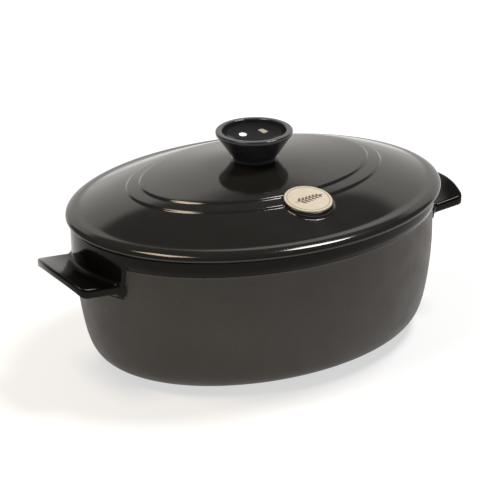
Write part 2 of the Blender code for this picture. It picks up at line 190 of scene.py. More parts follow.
SPRIG_TIP = (0.0103, 0.0042, 0.0020)  # root, length and width of the leaf at the stem's end
BORDER_RADII = (0.01740, 0.01775)
BOSS_UP = Matrix.Rotation(BOSS_TILT, 3, "X") @ Vector((0, 0, 1))
BOSS_CENTRE = (BADGE_LOW + BADGE_HIGH) / 2 - BOSS_UP * (FIT_GAP + BADGE_THICKNESS / 2)
BOSS_FRAME = Matrix.Translation(BOSS_CENTRE) @ Matrix.Rotation(BOSS_TILT, 4, "X")

# ---- knob ---------------------------------------------------------------------------------------
KNOB_STEPS = 160
KNOB_BASE_RADIUS = 0.0198
KNOB_RIM_RADIUS = KNOB_HIGH.x
KNOB_TOP_Z = KNOB_HIGH.z
KNOB_LIP_WIDTH = 0.0056
KNOB_LIP_HEIGHT = 0.0038
KNOB_LIP_ROUND = 0.0014
KNOB_BOWL_DEPTH = 0.0150
KNOB_FOOT_SPREAD = 0.0008      # how far the knob's foot runs out over its pad
KNOB_FOOT_FILLET = 0.0020
KNOB_FOOT_EDGE = 0.0001


# ---- studio and camera --------------------------------------------------------------------------
FLOOR_ALBEDO = 0.45
FLOOR_GLOW = 0.62               # light from below, as on a lit product table
SOFTBOX_DISTANCE = 3.0
ROOM_COLOUR = (0.17, 0.17, 0.17)
BACKDROP_COLOUR = (1.0, 0.97, 0.94)
BACKDROP_AZIMUTH = 146.0
BACKDROP_SIDES = (math.radians(40), math.radians(50))
BACKDROP_TOPS = (math.radians(36), math.radians(42))
FLOOR_RADIUS = 9.0
FLOOR_DROP = 0.0002             # the floor lies a hair under the base
LENS = 169.37
CAMERA_AZIMUTH = -0.5439        # this and the other camera angles are in radians
CAMERA_ELEVATION = 0.4129
CAMERA_ROLL = -0.0201
CAMERA_DISTANCE = 2.0130
CAMERA_TARGET = Vector((0.0, 0.0, 0.04125))
CAMERA_TURN_RIGHT = -0.0027
CAMERA_TURN_UP = 0.0170


# ---- shape helpers ------------------------------------------------------------------------------
def even_angles(count):
    return [2 * math.pi * i / count for i in range(count)]


def spread(start, end, count):
    return [start + (end - start) * i / (count - 1) for i in range(count)]


def smooth_step(low, high, value):
    t = min(max((value - low) / (high - low), 0.0), 1.0)
    return t * t * (3 - 2 * t)


def arc(centre, radius, start, end, steps):
    """Points of an arc in a profile plane, start and end in quarter turns."""
    points = []
    for i in range(steps + 1):
        angle = QUARTER_TURN * (start + (end - start) * i / steps)
        points.append((centre[0] + radius * math.cos(angle), centre[1] + radius * math.sin(angle)))
    return points


def oval_ring(half_length, half_width, inset, z, angles):
    length = half_length - inset
    width = half_width - inset
    return [(length * math.cos(a), width * math.sin(a), z) for a in angles]


def pot_ring(inset, z, angles):
    return oval_ring(POT_HALF_LENGTH, POT_HALF_WIDTH, inset, z, angles)


def lid_ring(inset, z, angles):
    return oval_ring(HALF_LENGTH, HALF_WIDTH, inset, z, angles)


def fan_cap(shape, row):
    count = len(row)
    centre = shape.verts.new(sum((vert.co for vert in row), Vector()) / count)
    return [shape.faces.new((row[i], row[(i + 1) % count], centre)) for i in range(count)]


def zip_cap(shape, row):
    """Cap of strips that join each point to the one below it, so that it follows a curved wall."""
    last = len(row) - 1
    half = len(row) // 2 - 1
    return [shape.faces.new((row[i], row[i + 1], row[last - 1 - i], row[last - i])) for i in range(half)]


def loft(name, loops, marks=None, cap=fan_cap):
    """Closed skin through loops of equal length; marks gives a material index to each strip."""
    shape = bmesh.new()
    rows = [[shape.verts.new(point) for point in loop] for loop in loops]
    marks = marks or [0] * len(rows)
    count = len(rows[0])
    for mark, lower, upper in zip(marks, rows, rows[1:]):
        for i in range(count):
            j = (i + 1) % count
            face = shape.faces.new((lower[i], lower[j], upper[j], upper[i]))
            face.material_index = mark
    for mark, row in ((marks[0], rows[0]), (marks[len(rows) - 2], rows[-1])):
        for face in cap(shape, row):
            face.material_index = mark
    return mesh_from(name, shape)


def spin_profile(name, profile, steps):
    """Solid of revolution about Z from (radius, height) points, first and last on the axis."""
    shape = bmesh.new()
    verts = [shape.verts.new((r, 0.0, z)) for r, z in profile]
    edges = [shape.edges.new(pair) for pair in zip(verts, verts[1:])]
    bmesh.ops.spin(
        shape, geom=verts + edges, cent=(0, 0, 0), axis=(0, 0, 1), angle=2 * math.pi, steps=steps
    )
    bmesh.ops.remove_doubles(shape, verts=shape.verts, dist=1e-6)
    return mesh_from(name, shape)


def mesh_from(name, shape):
    bmesh.ops.recalc_face_normals(shape, faces=shape.faces)
    mesh = bpy.data.meshes.new(name)
    shape.to_mesh(mesh)
    shape.free()
    return mesh


def add_piece(name, mesh, materials, body, slot, *nodes):
    """One shown piece: its materials, its CAD body and the nodes it stands for. The slot argument is not
    used.
    """
    for material in materials:
        mesh.materials.append(material)
    mesh.shade_smooth()
    mesh.set_sharp_from_angle(angle=math.radians(38))
    piece = bpy.data.objects.new(name, mesh)
    bpy.context.scene.collection.objects.link(piece)
    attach(piece, body)
    if nodes:
        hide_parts(*nodes)
    return piece


# ---- materials ----------------------------------------------------------------------------------
class Glaze:
    """A Principled material whose colour, roughness and relief come from noise in object space."""

    def __init__(self, name, roughness, ior):
        self.material = bpy.data.materials.new(name)
        self.material.use_nodes = True
        self.nodes = self.material.node_tree.nodes
        self.links = self.material.node_tree.links
        self.shader = self.nodes["Principled BSDF"]
        self.shader.inputs["Roughness"].default_value = roughness
        self.shader.inputs["IOR"].default_value = ior
        self.place = self.nodes.new("ShaderNodeTexCoord").outputs["Object"]
        self.normal = None

    def noise(self, scale, detail):
        node = self.nodes.new("ShaderNodeTexNoise")
        node.inputs["Scale"].default_value = scale
        node.inputs["Detail"].default_value = detail
        self.links.new(self.place, node.inputs["Vector"])
        return node.outputs["Fac"]

    def remap(self, value, low, high, start=0.3, end=0.7):
        node = self.nodes.new("ShaderNodeMapRange")
        node.inputs["From Min"].default_value = start
        node.inputs["From Max"].default_value = end
        node.inputs["To Min"].default_value = low
        node.inputs["To Max"].default_value = high
        self.links.new(value, node.inputs["Value"])
        return node.outputs["Result"]

    def blend(self, share, first, second):
        """Mix of two colours, each a tuple or an output socket."""
        node = self.nodes.new("ShaderNodeMix")
        node.data_type = "RGBA"
        self.links.new(share, node.inputs["Factor"])
        for socket, colour in ((node.inputs[6], first), (node.inputs[7], second)):
            if isinstance(colour, tuple):
                socket.default_value = (*colour, 1.0)
            else:
                self.links.new(colour, socket)
        return node.outputs[2]

    def colour(self, value):
        self.links.new(value, self.shader.inputs["Base Color"])

    def roughness(self, value):
        self.links.new(value, self.shader.inputs["Roughness"])

    def relief(self, height, distance):
        """Adds a bump of this height in metres on top of the bumps before it."""
        node = self.nodes.new("ShaderNodeBump")
        node.inputs["Strength"].default_value = 1.0
        node.inputs["Distance"].default_value = distance
        self.links.new(height, node.inputs["Height"])
        if self.normal:
            self.links.new(self.normal, node.inputs["Normal"])
        self.normal = node.outputs["Normal"]
        self.links.new(self.normal, self.shader.inputs["Normal"])


def speckled(glaze, dark, light, speck, cloud_scale, speck_scale, speck_start):
    """Cloudy two-tone glaze colour with fine mineral specks."""
    clouds = glaze.blend(glaze.remap(glaze.noise(cloud_scale, 4.0), 0.0, 1.0), dark, light)
    specks = glaze.remap(glaze.noise(speck_scale, 1.0), 0.0, 1.0, speck_start, speck_start + 0.06)
    glaze.colour(glaze.blend(specks, clouds, speck))


def satin_body_material():
    glaze = Glaze("satin_charcoal_glaze", 0.45, 1.38)
    dark, light, speck = (0.0385, 0.0315, 0.0255), (0.0455, 0.0375, 0.0305), (0.075, 0.063, 0.052)
    speckled(glaze, dark, light, speck, 22.0, 1500.0, 0.66)
    glaze.roughness(glaze.remap(glaze.noise(60.0, 3.0), 0.40, 0.50))
    glaze.relief(glaze.noise(350.0, 2.0), 0.00002)
    glaze.relief(glaze.noise(2200.0, 1.0), 0.00001)
    return glaze.material


# Painted shade: the band and handle glaze has a darker colour and a lower IOR than the lid's glaze, to
# stand in for the dark surroundings that these glossy faces reflect.
def gloss_band_material(name):
    glaze = Glaze(name, 0.12, 1.22)
    glaze.shader.inputs["Specular Tint"].default_value = (1.0, 0.94, 0.86, 1.0)
    dark, light, speck = (0.0030, 0.0028, 0.0024), (0.0046, 0.0042, 0.0036), (0.016, 0.014, 0.012)
    speckled(glaze, dark, light, speck, 30.0, 1700.0, 0.68)
    glaze.roughness(glaze.remap(glaze.noise(70.0, 3.0), 0.10, 0.16))
    glaze.relief(glaze.noise(110.0, 2.0), 0.00003)
    glaze.relief(glaze.noise(1300.0, 1.0), 0.000003)
    return glaze.material


def lid_material():
    glaze = Glaze("gloss_charcoal_lid_glaze", 0.12, 1.50)
    glaze.shader.inputs["Specular Tint"].default_value = (1.0, 0.955, 0.91, 1.0)
    dark, light, speck = (0.0095, 0.0088, 0.0078), (0.0125, 0.0115, 0.0102), (0.026, 0.023, 0.020)
    speckled(glaze, dark, light, speck, 26.0, 1600.0, 0.68)
    glaze.roughness(glaze.remap(glaze.noise(55.0, 3.0), 0.085, 0.125))
    glaze.relief(glaze.noise(85.0, 2.0), 0.00003)
    glaze.relief(glaze.noise(1200.0, 1.0), 0.000003)
    return glaze.material


def knob_material():
    glaze = Glaze("black_knob_glaze", 0.07, 1.45)
    dark, light, speck = (0.0240, 0.0240, 0.0268), (0.0290, 0.0290, 0.0320), (0.028, 0.028, 0.030)
    speckled(glaze, dark, light, speck, 60.0, 1800.0, 0.70)
    glaze.roughness(glaze.remap(glaze.noise(120.0, 3.0), 0.05, 0.09))
    glaze.relief(glaze.noise(140.0, 2.0), 0.00002)
    return glaze.material


def bare_clay_material():
    glaze = Glaze("bare_stoneware_foot", 0.80, 1.45)
    dark, light, speck = (0.205, 0.150, 0.104), (0.262, 0.196, 0.140), (0.09, 0.065, 0.05)
    speckled(glaze, dark, light, speck, 90.0, 1400.0, 0.62)
    glaze.roughness(glaze.remap(glaze.noise(200.0, 3.0), 0.7, 0.9))
    glaze.relief(glaze.noise(900.0, 3.0), 0.00006)
    return glaze.material


def plaque_material():
    glaze = Glaze("cream_plaque", 0.45, 1.45)
    dark, light, speck = (0.58, 0.52, 0.42), (0.64, 0.58, 0.47), (0.50, 0.44, 0.35)
    speckled(glaze, dark, light, speck, 160.0, 2600.0, 0.66)
    glaze.roughness(glaze.remap(glaze.noise(300.0, 3.0), 0.40, 0.52))
    glaze.relief(glaze.noise(1500.0, 2.0), 0.00001)
    return glaze.material


def sprig_material():
    glaze = Glaze("brown_sprig_print", 0.55, 1.45)
    dark, light, speck = (0.100, 0.075, 0.052), (0.150, 0.115, 0.082), (0.20, 0.16, 0.12)
    speckled(glaze, dark, light, speck, 400.0, 3000.0, 0.64)
    glaze.roughness(glaze.remap(glaze.noise(500.0, 2.0), 0.5, 0.65))
    glaze.relief(glaze.noise(2500.0, 1.0), 0.00001)
    return glaze.material


# ---- pot ----------------------------------------------------------------------------------------
SATIN, GLOSS, CLAY = 0, 1, 2


def outer_wall_inset(z):
    base = BASE_ROUND * math.exp(-z / BASE_ROUND_REACH)
    return WALL_INSET + base + DRAUGHT * max(1.0 - z / DRAUGHT_TOP, 0.0) ** DRAUGHT_POWER


def inner_wall_inset(z):
    left = max(1.0 - (z - FLOOR_Z) / INNER_CORNER_HEIGHT, 0.0)
    corner = 1.0 - (1.0 - left ** 2) ** (1.0 / INNER_CORNER_POWER)
    return WALL_INSET + WALL_THICKNESS + INNER_CORNER_SPREAD * corner


def pot_angles():
    """Even steps round the oval, with more of them where the band turns down to a pad."""
    angles = even_angles(RING_STEPS)
    for offset in spread(-1.0, 1.0, 9):
        turn = math.asin((PAD_HALF_WIDTH + offset * PAD_BLEND) / POT_HALF_WIDTH)
        angles += [turn, math.pi - turn, math.pi + turn, 2 * math.pi - turn]
    return sorted(angles)


def band_edge_z(angle):
    """Lower edge of the collar band: level, and dropped behind each handle."""
    across = abs(POT_HALF_WIDTH * math.sin(angle))
    level = smooth_step(PAD_HALF_WIDTH - PAD_BLEND, PAD_HALF_WIDTH + PAD_BLEND, across)
    return PAD_LOW_Z + (BAND_LOW_Z - PAD_LOW_Z) * level


def fitted_ring(angles, rise, inset):
    """Ring with one inset whose height follows the band's lower edge, plus some rise."""
    ring = []
    for angle in angles:
        ring += pot_ring(inset, band_edge_z(angle) + rise, (angle,))
    return ring


def wall_to_band_ring(angles, share):
    """Ring of the outer wall part of the way from its last level ring to the band's lower edge."""
    ring = []
    for angle in angles:
        z = LEVEL_WALL_TOP + (band_edge_z(angle) - LEVEL_WALL_TOP) * share
        ring += pot_ring(outer_wall_inset(z), z, (angle,))
    return ring


def flared_ring(angles, rise, flare):
    """Ring of the outer wall that leans out by this much, just below the band."""
    ring = []
    for angle in angles:
        z = band_edge_z(angle) + rise
        ring += pot_ring(outer_wall_inset(z) - flare, z, (angle,))
    return ring


def build_pot_shell():
    angles = pot_angles()
    foot_outer = outer_wall_inset(0.0)
    foot_inner = foot_outer + FOOT_WIDTH
    loops = [
        pot_ring(foot_inner + BASE_PANEL_INSET, FOOT_RECESS, angles),
        pot_ring(foot_inner + FOOT_EDGE, FOOT_RECESS, angles),
        pot_ring(foot_inner, 0.0, angles),
        pot_ring(foot_outer + FOOT_EDGE, 0.0, angles),
    ]
    marks = [CLAY] * 4
    for i in range(WALL_RINGS):
        z = FOOT_ROUND_Z + (LEVEL_WALL_TOP - FOOT_ROUND_Z) * (i / (WALL_RINGS - 1)) ** 2.0
        loops.append(pot_ring(outer_wall_inset(z), z, angles))
        marks.append(SATIN)
    for share in (0.3, 0.6, 0.85):
        loops.append(wall_to_band_ring(angles, share))
        marks.append(SATIN)
    for t in spread(0.0, 1.0, 8):
        flare = BAND_FILLET * (1.0 - math.sqrt(1.0 - (BAND_FILLET_SWEEP * t) ** 2))
        loops.append(flared_ring(angles, -BAND_FILLET_HEIGHT * (1.0 - t), flare))
        marks.append(SATIN)
    marks[-1] = GLOSS
    for x, rise in arc((-BAND_STEP_INSET - BAND_EDGE_RADIUS, BAND_EDGE_RADIUS), BAND_EDGE_RADIUS, -1, 0, 5):
        loops.append(fitted_ring(angles, rise, -x))
        marks.append(GLOSS)
    for share in spread(0.15, 1.0, 9):
        inset = BAND_STEP_INSET * (1.0 - share) ** 2
        loops.append(fitted_ring(angles, BAND_EDGE_RADIUS + share * BAND_SWELL_HEIGHT, inset))
        marks.append(GLOSS)
    rim_inner = MOUTH_INSET - LIP_RADIUS
    for x, z in arc((-LIP_RADIUS, RIM_Z - LIP_RADIUS), LIP_RADIUS, 0, 1, 8):
        loops.append(pot_ring(-x, z, angles))
        marks.append(GLOSS)
    for x, z in arc((-rim_inner, RIM_Z - LIP_RADIUS), LIP_RADIUS, 1, 2, 8):
        loops.append(pot_ring(-x, z, angles))
        marks.append(GLOSS)
    for i in range(INSIDE_RINGS):
        share = ((INSIDE_RINGS - 1 - i) / (INSIDE_RINGS - 1)) ** 2.0
        z = INSIDE_LOW_Z + (INSIDE_HIGH_Z - INSIDE_LOW_Z) * share
        loops.append(pot_ring(inner_wall_inset(z), z, angles))
        marks.append(GLOSS)
    loops.append(pot_ring(inner_wall_inset(FLOOR_Z) + FLOOR_EDGE_WIDTH, FLOOR_Z, angles))
    marks.append(GLOSS)
    mesh = loft("pot_shell", loops, marks)
    materials = [satin_body_material(), gloss_band_material("gloss_band_glaze"), bare_clay_material()]
    return add_piece("pot_shell", mesh, materials, "pot", "pot_glaze", "pot_body")


# ---- handles ------------------------------------------------------------------------------------
def pad_face_x(y):
    return POT_HALF_LENGTH * math.sqrt(1.0 - (y / POT_HALF_WIDTH) ** 2)


def handle_tip_x(y):
    return HANDLE_TIP_X - HANDLE_TIP_CURVE * y * y


def handle_top_z(share, y):
    """Height of the wing's top: straight at the root, arched at the outer edge."""
    reach = min(abs(y) / HANDLE_HALF_WIDTH, 1.0)
    edge = HANDLE_ARCH_Z - (HANDLE_ARCH_Z - HANDLE_CORNER_Z) * reach ** HANDLE_ARCH_POWER
    return HANDLE_ROOT_Z + (edge - HANDLE_ROOT_Z) * share


def quarter_round(radius, distance):
    """Offset that a round of this radius gives at some distance from where it starts."""
    left = min(max(radius - distance, 0.0), radius)
    return radius - math.sqrt(radius ** 2 - left ** 2)


def handle_section(half_width, thickness, flare):
    """Slab with rounded edges, as (across, below the top) pairs from the right side over the top."""
    straight = half_width - HANDLE_EDGE_RADIUS
    radius = HANDLE_EDGE_RADIUS + flare
    upper = -HANDLE_EDGE_RADIUS
    lower = HANDLE_EDGE_RADIUS - thickness
    corners = ((straight, upper), (-straight, upper), (-straight, lower), (straight, lower))
    points = []
    for turn, corner in enumerate(corners):
        points += arc(corner, radius, turn, turn + 1, HANDLE_EDGE_STEPS)
        if turn in (0, 2):
            start, height = points[-1]
            for i in range(1, HANDLE_FACE_STEPS):
                points.append((start - 2 * start * i / HANDLE_FACE_STEPS, height))
    return points


def handle_loops(side):
    reach = HANDLE_TIP_X - pad_face_x(0.0)
    fillet = HANDLE_ROOT_FILLET
    edge = HANDLE_EDGE_RADIUS
    stations = [-HANDLE_ROOT_DEPTH, 0.0]
    stations += [fillet * share for share in HANDLE_FILLET_SHARES]
    stations += spread(fillet, reach - HANDLE_CORNER_RADIUS, 14)[1:]
    stations += spread(reach - HANDLE_CORNER_RADIUS, reach - edge, 6)[1:]
    stations += [reach - edge * share for share in HANDLE_TIP_SHARES]
    loops = []
    for distance in stations:
        share = distance / reach
        thickness = HANDLE_ROOT_THICKNESS + (HANDLE_TIP_THICKNESS - HANDLE_ROOT_THICKNESS) * share
        flare = quarter_round(fillet, distance) - quarter_round(edge, reach - distance)
        half_width = HANDLE_HALF_WIDTH - quarter_round(HANDLE_CORNER_RADIUS, reach - distance)
        loop = []
        for across, below in handle_section(half_width, thickness, flare):
            root = pad_face_x(across)
            x = root + (handle_tip_x(across) - root) * share
            z = handle_top_z(share, across) + below
            if below < -thickness / 2:
                z -= HANDLE_CORNER_SAG * share * (abs(across) / HANDLE_HALF_WIDTH) ** 2
            loop.append((side * x, across, z))
        loops.append(loop)
    return loops


def build_handle(name, side, node):
    mesh = loft(name, handle_loops(side), cap=zip_cap)
    material = gloss_band_material(node + "_gloss_glaze")
    return add_piece(name, mesh, [material], "pot", node + "_glaze", node)


# ---- lid ----------------------------------------------------------------------------------------
def lid_edge_points():
    """Inset and height pairs round the lid's edge, from its widest point up to the brim."""
    turn = LID_TURN_ANGLE / QUARTER_TURN
    end = 1.0 - math.atan(BRIM_SLOPE) / QUARTER_TURN
    lower = arc((-LID_EDGE_RADIUS, LID_EDGE_Z), LID_EDGE_RADIUS, 0, turn, LID_EDGE_STEPS)
    shift = LID_SHOULDER_RADIUS - LID_EDGE_RADIUS
    centre_x = -LID_EDGE_RADIUS - shift * math.cos(LID_TURN_ANGLE)
    centre_z = LID_EDGE_Z - shift * math.sin(LID_TURN_ANGLE)
    upper = arc((centre_x, centre_z), LID_SHOULDER_RADIUS, turn, end, LID_EDGE_STEPS)
    return [(-x, z) for x, z in lower + upper[1:]]


def lid_top_z(inset):
    """Height of the brim and of the start of the dome, with the drop and the steps."""
    start, height = lid_edge_points()[-1]
    run = inset - start
    brim = height + BRIM_SLOPE * run - BRIM_FLATTENING * run ** 2
    brim -= BRIM_DIP * smooth_step(*BRIM_DIP_INSETS, inset)
    for step in STEP_INSETS:
        brim += STEP_HEIGHT * smooth_step(step - STEP_HALF_WIDTH, step + STEP_HALF_WIDTH, inset)
    return brim


def lid_brim_ring(inset, angles):
    """Ring of the brim, with the hollow that is deepest along the two long sides."""
    start, middle, end = BRIM_HOLLOW_INSETS
    share = smooth_step(start, middle, inset) * (1.0 - smooth_step(middle, end, inset))
    ring = []
    for angle in angles:
        z = lid_top_z(inset) - BRIM_HOLLOW * share * math.sin(angle) ** 2
        ring += lid_ring(inset, z, (angle,))
    return ring


def dome_ring(share, angles):
    """Ring of the dome between the inner step, share 0, and the round knob pad, share 1."""
    inset = STEP_INSETS[1] + STEP_MARGIN
    low = lid_top_z(inset)
    height = low + (KNOB_PAD_Z - low) * (1.0 - (1.0 - share) ** DOME_FLATTENING)
    ring = []
    for angle, point in zip(angles, lid_ring(inset, height, angles)):
        circle = (KNOB_PAD_RADIUS * math.cos(angle), KNOB_PAD_RADIUS * math.sin(angle), height)
        ring.append(tuple(a + (b - a) * share for a, b in zip(point, circle)))
    return ring


def build_lid_skin():
    angles = even_angles(RING_STEPS)
    panel_z = lid_top_z(UNDERSIDE_PANEL_INSET) - LID_THICKNESS - UNDERSIDE_PANEL_DROP
    loops = [lid_ring(UNDERSIDE_PANEL_INSET, panel_z, angles)]
    for inset in UNDERSIDE_INSETS:
        loops.append(lid_ring(inset, lid_top_z(inset) - LID_THICKNESS, angles))
    outer = MOUTH_INSET + FLANGE_GAP
    inner = outer + FLANGE_WIDTH
    flange = [(inner + FLANGE_LEAN, FLANGE_TOP_Z), (inner, FLANGE_LOW_Z + FLANGE_EDGE)]
    flange += [(inner - FLANGE_EDGE_MIDDLE, FLANGE_LOW_Z + FLANGE_EDGE_MIDDLE)]
    flange += [(inner - FLANGE_EDGE, FLANGE_LOW_Z), (outer + FLANGE_EDGE, FLANGE_LOW_Z)]
    flange += [(outer + FLANGE_EDGE_MIDDLE, FLANGE_LOW_Z + FLANGE_EDGE_MIDDLE)]
    flange += [(outer, FLANGE_LOW_Z + FLANGE_EDGE), (outer, LID_SEAT_Z)]
    for inset, z in flange:
        loops.append(pot_ring(inset, z, angles))
    loops.append(lid_ring(SEAT_EDGE_INSET, LID_SEAT_Z, angles))
    for inset, below in LID_LOWER_EDGE:
        loops.append(lid_ring(inset, LID_EDGE_Z + below, angles))
    for inset, z in lid_edge_points():
        loops.append(lid_ring(inset, z, angles))
    start = lid_edge_points()[-1][0]
    for inset in spread(start, STEP_INSETS[0] - STEP_MARGIN, BRIM_RINGS)[1:-1]:
        loops.append(lid_brim_ring(inset, angles))
    for step in STEP_INSETS:
        for inset in spread(step - STEP_MARGIN, step + STEP_MARGIN, STEP_RINGS):
            loops.append(lid_ring(inset, lid_top_z(inset), angles))
        if step == STEP_INSETS[0]:
            for inset in spread(step + STEP_MARGIN, STEP_INSETS[1] - STEP_MARGIN, 8)[1:-1]:
                loops.append(lid_ring(inset, lid_top_z(inset), angles))
    for share in spread(0.0, 1.0, DOME_RINGS)[1:]:
        loops.append(dome_ring(share, angles))
    return loft("lid_shell", loops)


def boss_outline(drop, fillet):
    """Half section of the boss: hollow fillet at the foot, short wall, rounded edge."""
    foot = BOSS_RADIUS + fillet
    outline = [(foot, -drop - BOSS_ROOT), (foot, -drop - BOSS_SINK)]
    for t in spread(0.10, 1.0, 8):
        turn = t * math.pi / 2
        rise = fillet * (1.0 - math.cos(turn))
        outline.append((foot - fillet * math.sin(turn), -drop - BOSS_SINK + rise))
    outline += arc((BOSS_RADIUS - BOSS_ROUND, -BOSS_ROUND), BOSS_ROUND, 0, 1, 6)
    return outline


def build_boss_mesh(skin):
    """Round boss whose foot follows the lid's surface, found by casting rays at it."""
    surface = BVHTree.FromPolygons([v.co for v in skin.vertices], [p.vertices for p in skin.polygons])
    up = BOSS_UP.normalized()
    columns = []
    for a in even_angles(BOSS_STEPS):
        fillet = BOSS_FILLET
        for _ in range(3):
            reach = BOSS_RADIUS + fillet
            start = BOSS_FRAME @ Vector((reach * math.cos(a), reach * math.sin(a), 0.0))
            distance = surface.ray_cast(start + up * RAY_START, -up)[3]
            drop = max(BOSS_LEAST_DROP, distance - RAY_START)
            fillet = min(BOSS_FILLET, BOSS_FILLET_SHARE * drop)
        outline = boss_outline(drop, fillet)
        columns.append([(reach * math.cos(a), reach * math.sin(a), z) for reach, z in outline])
    mesh = loft("boss_solid", [list(loop) for loop in zip(*columns)])
    mesh.transform(BOSS_FRAME)
    return mesh


def build_lid_shell():
    """The lid's skin with the boss joined on, as one mesh."""
    parts = []
    skin = build_lid_skin()
    for mesh in (skin, build_boss_mesh(skin)):
        part = bpy.data.objects.new(mesh.name + "_part", mesh)
        bpy.context.scene.collection.objects.link(part)
        parts.append(part)
    join = parts[0].modifiers.new("raise_boss", "BOOLEAN")
    join.operation = "UNION"
    join.solver = "EXACT"
    join.object = parts[1]
    depsgraph = bpy.context.evaluated_depsgraph_get()
    mesh = bpy.data.meshes.new_from_object(parts[0].evaluated_get(depsgraph))
    mesh.name = "lid_shell"
    for part in parts:
        bpy.data.objects.remove(part, do_unlink=True)
    return add_piece("lid_shell", mesh, [lid_material()], "lid", "lid_glaze", "lid")


# ---- knob and badge -----------------------------------------------------------------------------
def build_knob_cup():
    base_z = KNOB_PAD_Z
    lip_z = KNOB_TOP_Z - KNOB_LIP_ROUND
    lip_low_z = KNOB_TOP_Z - KNOB_LIP_HEIGHT + KNOB_LIP_ROUND
    outer_r = KNOB_RIM_RADIUS - KNOB_LIP_ROUND
    inner_r = KNOB_RIM_RADIUS - KNOB_LIP_WIDTH + KNOB_LIP_ROUND
    foot_r = KNOB_BASE_RADIUS + KNOB_FOOT_SPREAD
    profile = [(0.0, base_z), (foot_r, base_z)]
    for t in spread(0.05, 0.88, 9):
        turn = t * math.pi / 2
        rise = KNOB_FOOT_EDGE + KNOB_FOOT_FILLET * (1.0 - math.cos(turn))
        profile.append((foot_r - KNOB_FOOT_FILLET * math.sin(turn), base_z + rise))
    profile += arc((outer_r, lip_low_z), KNOB_LIP_ROUND, -0.75, 0, 8)
    profile += arc((outer_r, lip_z), KNOB_LIP_ROUND, 0, 1, 8)
    profile += arc((inner_r, lip_z), KNOB_LIP_ROUND, 1, 2, 8)
    bowl_r = inner_r - KNOB_LIP_ROUND
    for t in spread(0.03, 1.0, 28):
        turn = t * math.pi / 2
        profile.append((bowl_r * math.cos(turn), lip_z - KNOB_BOWL_DEPTH * math.sin(turn)))
    profile[-1] = (0.0, lip_z - KNOB_BOWL_DEPTH)
    mesh = spin_profile("knob_cup", profile, KNOB_STEPS)
    return add_piece("knob_cup", mesh, [knob_material()], "lid", "knob_glaze", "lid_knob")


def build_badge_plaque():
    top = FIT_GAP + BADGE_THICKNESS
    edge = BADGE_EDGE_ROUND
    profile = [(0.0, BADGE_LOWER_Z), (BADGE_RADIUS, BADGE_LOWER_Z)]
    profile += arc((BADGE_RADIUS - edge, top - edge), edge, 0, 1, 6)
    profile += [(0.0, top)]
    mesh = spin_profile("badge_plaque", profile, BADGE_STEPS)
    mesh.transform(BOSS_FRAME)
    return add_piece("badge_plaque", mesh, [plaque_material()], "lid", "badge_face", "badge_disc")


def raise_outline(shape, outline, low, high):
    """Thin closed prism with this outline, a list of (x, y) points in order."""
    bottom = [shape.verts.new((x, y, low)) for x, y in outline]
    top = [shape.verts.new((x, y, high)) for x, y in outline]
    count = len(outline)
    for i in range(count):
        j = (i + 1) % count
        shape.faces.new((bottom[i], bottom[j], top[j], top[i]))
    shape.faces.new(bottom)
    shape.faces.new(top)


def leaf_outline(root, angle, length, width):
    """Pointed leaf that starts at root and runs out at some angle."""
    points = []
    for t in spread(0.0, 1.0, 13)[:-1]:
        points.append((length * t, width / 2 * math.sin(math.pi * t ** 0.8)))
    for t in spread(1.0, 0.0, 13)[:-1]:
        points.append((length * t, -width / 2 * math.sin(math.pi * t ** 0.8)))
    turned = []
    for x, y in points:
        turned.append((
            root[0] + x * math.cos(angle) - y * math.sin(angle),
            root[1] + x * math.sin(angle) + y * math.cos(angle),
        ))
    return turned


def stem_y(x):
    return SPRIG_STEM_SWAY * math.sin(x / SPRIG_SWAY_LENGTH * QUARTER_TURN)


def add_border_ring(shape, low, high):
    """Closed thin ring round the plaque's face."""
    angles = even_angles(BADGE_STEPS)
    inner, outer = BORDER_RADII
    rows = []
    for radius, z in ((inner, low), (inner, high), (outer, high), (outer, low)):
        rows.append([shape.verts.new((radius * math.cos(a), radius * math.sin(a), z)) for a in angles])
    for k, row in enumerate(rows):
        following = rows[(k + 1) % len(rows)]
        for i in range(len(angles)):
            j = (i + 1) % len(angles)
            shape.faces.new((row[i], row[j], following[j], following[i]))


def build_badge_sprig():
    """Generic leaf sprig and a thin border ring, a hair proud of the plaque."""
    shape = bmesh.new()
    low = FIT_GAP + BADGE_THICKNESS - SPRIG_RELIEF
    high = FIT_GAP + BADGE_THICKNESS + SPRIG_RELIEF
    steps = spread(*SPRIG_STEM, 25)
    stem = [(x, stem_y(x) + SPRIG_STEM_HALF_WIDTH) for x in steps]
    stem += [(x, stem_y(x) - SPRIG_STEM_HALF_WIDTH) for x in reversed(steps)]
    raise_outline(shape, stem, low, high)
    for i in range(SPRIG_LEAF_PAIRS):
        x = SPRIG_FIRST_LEAF_X + SPRIG_LEAF_SPACING * i
        length = SPRIG_LEAF_LENGTH - SPRIG_LEAF_TAPER * i
        for side in (1, -1):
            root = (x + SPRIG_LEAF_SHIFT * (1 - side), stem_y(x))
            leaf = leaf_outline(root, side * SPRIG_LEAF_ANGLE, length, SPRIG_LEAF_WIDTH)
            raise_outline(shape, leaf, low, high)
    tip_x, tip_length, tip_width = SPRIG_TIP
    raise_outline(shape, leaf_outline((tip_x, stem_y(tip_x)), 0.0, tip_length, tip_width), low, high)
    add_border_ring(shape, low, high)
    mesh = mesh_from("badge_sprig", shape)
    mesh.transform(BOSS_FRAME)
    return add_piece("badge_sprig", mesh, [sprig_material()], "lid", "badge_face")


